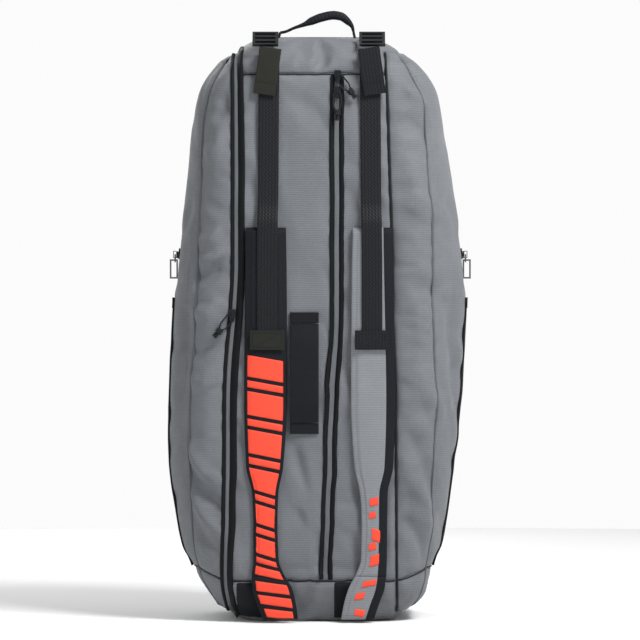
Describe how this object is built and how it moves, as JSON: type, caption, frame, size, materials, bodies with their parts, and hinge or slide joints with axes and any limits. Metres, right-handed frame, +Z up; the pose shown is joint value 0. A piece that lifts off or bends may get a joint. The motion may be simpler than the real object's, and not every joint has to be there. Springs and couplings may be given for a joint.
{
  "type": "racket tournament bag",
  "caption": "Upright padded racket bag with zipped side compartments that swing open, a slit-opening centre, two shoulder straps and carry handles.",
  "frame": {"origin": "middle of the flat base, on the surface that the bag stands on", "axes": "+Z up along the bag's length, -Y towards the side that carries the straps, +X to the right seen from that side"},
  "size_m": [0.4072, 0.3464, 0.804],
  "materials": {
    "grey_fabric": "woven polyester with fine ribs, slight sheen",
    "strap_fabric": "woven polyester with fine ribs, slight sheen",
    "black_fabric": "woven polyester, matt",
    "lining_fabric": "plain woven lining, matt",
    "base_board": "matt sheet",
    "zip_tape": "woven tape with a moulded coil",
    "zip_metal": "satin black lacquer",
    "pull_cord": "braided cord, matt",
    "webbing": "woven webbing, slight sheen",
    "buckle_plastic": "moulded, satin"
  },
  "bodies": {
    "root": {"centre_front_panel_left": "grey_fabric", "centre_front_panel_right": "grey_fabric", "centre_rear_panel": "grey_fabric", "top_panel": "grey_fabric", "base_panel": "grey_fabric", "left_divider": "lining_fabric", "right_divider": "lining_fabric", "base_board": "base_board", "left_zip_centre_half": "zip_tape", "rear_zip_centre_half": "zip_tape", "left_pad_end": "black_fabric", "right_pad_end": "strap_fabric", "left_upper_webbing": "webbing", "right_upper_webbing": "webbing", "left_anchor_tab": "webbing", "right_anchor_tab": "webbing", "grab_handle_upper_end": "webbing", "grab_handle_lower_end": "webbing"},
    "slit_lip_left": {"centre_zip_lip_left": "zip_tape"},
    "slit_lip_right": {"centre_zip_lip_right": "zip_tape"},
    "left_slider": {"left_zip_slider": "zip_metal"},
    "left_pull": {"left_zip_pull": "pull_cord"},
    "centre_upper_slider": {"centre_zip_upper_slider": "zip_metal"},
    "centre_upper_pull": {"centre_zip_upper_pull": "pull_cord"},
    "centre_lower_slider": {"centre_zip_lower_slider": "zip_metal"},
    "centre_lower_pull": {"centre_zip_lower_pull": "pull_cord"},
    "rear_slider": {"rear_zip_slider": "zip_metal"},
    "rear_pull": {"rear_zip_pull": "pull_cord"},
    "top_handle": {"top_handle": "webbing"},
    "grab_handle": {"grab_handle": "webbing"},
    "left_cover": {"left_outer_panel": "grey_fabric", "left_front_gusset": "grey_fabric", "left_rear_gusset": "grey_fabric", "left_top_gusset": "grey_fabric", "left_base_gusset": "grey_fabric", "left_side_pocket": "black_fabric", "left_pocket_zip": "zip_tape", "left_zip_cover_half": "zip_tape"},
    "left_pocket_slider": {"left_pocket_slider": "zip_metal"},
    "left_pocket_link": {"left_pocket_link": "zip_metal"},
    "left_pocket_pull": {"left_pocket_pull": "zip_metal"},
    "left_strap": {"left_shoulder_pad": "black_fabric", "left_strap_webbing": "webbing"},
    "left_lock": {"left_ladder_lock": "buckle_plastic"},
    "left_tail": {"left_webbing_tail": "webbing"},
    "right_cover": {"right_outer_panel": "grey_fabric", "right_front_gusset": "grey_fabric", "right_rear_gusset": "grey_fabric", "right_top_gusset": "grey_fabric", "right_base_gusset": "grey_fabric", "right_side_pocket": "black_fabric", "right_pocket_zip": "zip_tape", "rear_zip_cover_half": "zip_tape"},
    "right_pocket_slider": {"right_pocket_slider": "zip_metal"},
    "right_pocket_link": {"right_pocket_link": "zip_metal"},
    "right_pocket_pull": {"right_pocket_pull": "zip_metal"},
    "right_strap": {"right_shoulder_pad": "strap_fabric", "right_strap_webbing": "webbing"},
    "right_lock": {"right_ladder_lock": "buckle_plastic"},
    "right_tail": {"right_webbing_tail": "webbing"}
  },
  "joints": [
    {"name": "left_cover_hinge", "type": "hinge", "parent": "root", "child": "left_cover", "pos_m": [-0.118, 0.162, 0.39], "axis": [0, 0, -1], "range_deg": [0, 55]},
    {"name": "right_cover_hinge", "type": "hinge", "parent": "root", "child": "right_cover", "pos_m": [0.104, -0.158, 0.39], "axis": [0, 0, -1], "range_deg": [0, 55]},
    {"name": "left_slider_slide", "type": "slide", "parent": "root", "child": "left_slider", "axis": [0.0162, 0, 0.9999], "range_m": [-0.333, 0.289]},
    {"name": "left_pull_hinge", "type": "hinge", "parent": "left_slider", "child": "left_pull", "pos_m": [-0.11235, -0.16295, 0.402], "axis": [-0.766, 0, 0.6428], "range_deg": [0, 100]},
    {"name": "centre_upper_slider_slide", "type": "slide", "parent": "root", "child": "centre_upper_slider", "axis": [0.0236, 0, 0.9997], "range_m": [-0.002, 0.002]},
    {"name": "centre_upper_pull_hinge", "type": "hinge", "parent": "centre_upper_slider", "child": "centre_upper_pull", "pos_m": [0.0256, -0.16295, 0.715], "axis": [-0.766, 0, -0.6428], "range_deg": [0, 100]},
    {"name": "centre_lower_slider_slide", "type": "slide", "parent": "root", "child": "centre_lower_slider", "axis": [0.0236, 0, 0.9997], "range_m": [-0.628, 0]},
    {"name": "centre_lower_pull_hinge", "type": "hinge", "parent": "centre_lower_slider", "child": "centre_lower_pull", "pos_m": [0.0251, -0.16295, 0.694], "axis": [-1, 0, 0], "range_deg": [0, 120]},
    {"name": "slit_lip_left_slide", "type": "slide", "parent": "root", "child": "slit_lip_left", "axis": [-1, 0, 0], "range_m": [0, 0.016]},
    {"name": "slit_lip_right_slide", "type": "slide", "parent": "root", "child": "slit_lip_right", "axis": [1, 0, 0], "range_m": [0, 0.016]},
    {"name": "rear_slider_slide", "type": "slide", "parent": "root", "child": "rear_slider", "axis": [0, 0, 1], "range_m": [-0.39, 0.044]},
    {"name": "rear_pull_hinge", "type": "hinge", "parent": "rear_slider", "child": "rear_pull", "pos_m": [0.104, 0.16695, 0.5], "axis": [1, 0, 0], "range_deg": [0, 120]},
    {"name": "top_handle_hinge", "type": "hinge", "parent": "root", "child": "top_handle", "pos_m": [0, -0.098, 0.776], "axis": [1, 0, 0], "range_deg": [-30, 30]},
    {"name": "grab_handle_slide", "type": "slide", "parent": "root", "child": "grab_handle", "axis": [0, -1, 0], "range_m": [0, 0.02]},
    {"name": "left_pocket_slider_slide", "type": "slide", "parent": "left_cover", "child": "left_pocket_slider", "axis": [0, 1, 0], "range_m": [-0.075, 0.075]},
    {"name": "left_pocket_link_hinge", "type": "hinge", "parent": "left_pocket_slider", "child": "left_pocket_link", "pos_m": [-0.1921, 0, 0.484], "axis": [0, 1, 0], "range_deg": [0, 75]},
    {"name": "left_pocket_pull_hinge", "type": "hinge", "parent": "left_pocket_link", "child": "left_pocket_pull", "pos_m": [-0.1921, 0, 0.4765], "axis": [1, 0, 0], "range_deg": [-50, 50]},
    {"name": "left_strap_slide", "type": "slide", "parent": "root", "child": "left_strap", "axis": [0, -1, 0], "range_m": [0, 0.06]},
    {"name": "left_lock_hinge", "type": "hinge", "parent": "root", "child": "left_lock", "pos_m": [-0.069, -0.1398, 0.7727], "axis": [-1, 0, 0], "range_deg": [0, 45]},
    {"name": "left_tail_hinge", "type": "hinge", "parent": "root", "child": "left_tail", "pos_m": [-0.069, -0.1653, 0.753], "axis": [-1, 0, 0], "range_deg": [0, 100]},
    {"name": "right_pocket_slider_slide", "type": "slide", "parent": "right_cover", "child": "right_pocket_slider", "axis": [0, 1, 0], "range_m": [-0.075, 0.075]},
    {"name": "right_pocket_link_hinge", "type": "hinge", "parent": "right_pocket_slider", "child": "right_pocket_link", "pos_m": [0.19807, 0, 0.484], "axis": [0, -1, 0], "range_deg": [0, 75]},
    {"name": "right_pocket_pull_hinge", "type": "hinge", "parent": "right_pocket_link", "child": "right_pocket_pull", "pos_m": [0.19807, 0, 0.4765], "axis": [1, 0, 0], "range_deg": [-50, 50]},
    {"name": "right_strap_slide", "type": "slide", "parent": "root", "child": "right_strap", "axis": [0, -1, 0], "range_m": [0, 0.06]},
    {"name": "right_lock_hinge", "type": "hinge", "parent": "root", "child": "right_lock", "pos_m": [0.071, -0.1398, 0.7727], "axis": [-1, 0, 0], "range_deg": [0, 45]},
    {"name": "right_tail_hinge", "type": "hinge", "parent": "root", "child": "right_tail", "pos_m": [0.071, -0.1653, 0.753], "axis": [-1, 0, 0], "range_deg": [0, 100]}
  ],
  "couplings": [
    {"joint": "slit_lip_left_slide", "follows": "centre_lower_slider_slide", "ratio": -0.0254},
    {"joint": "slit_lip_right_slide", "follows": "centre_lower_slider_slide", "ratio": -0.0254}
  ]
}
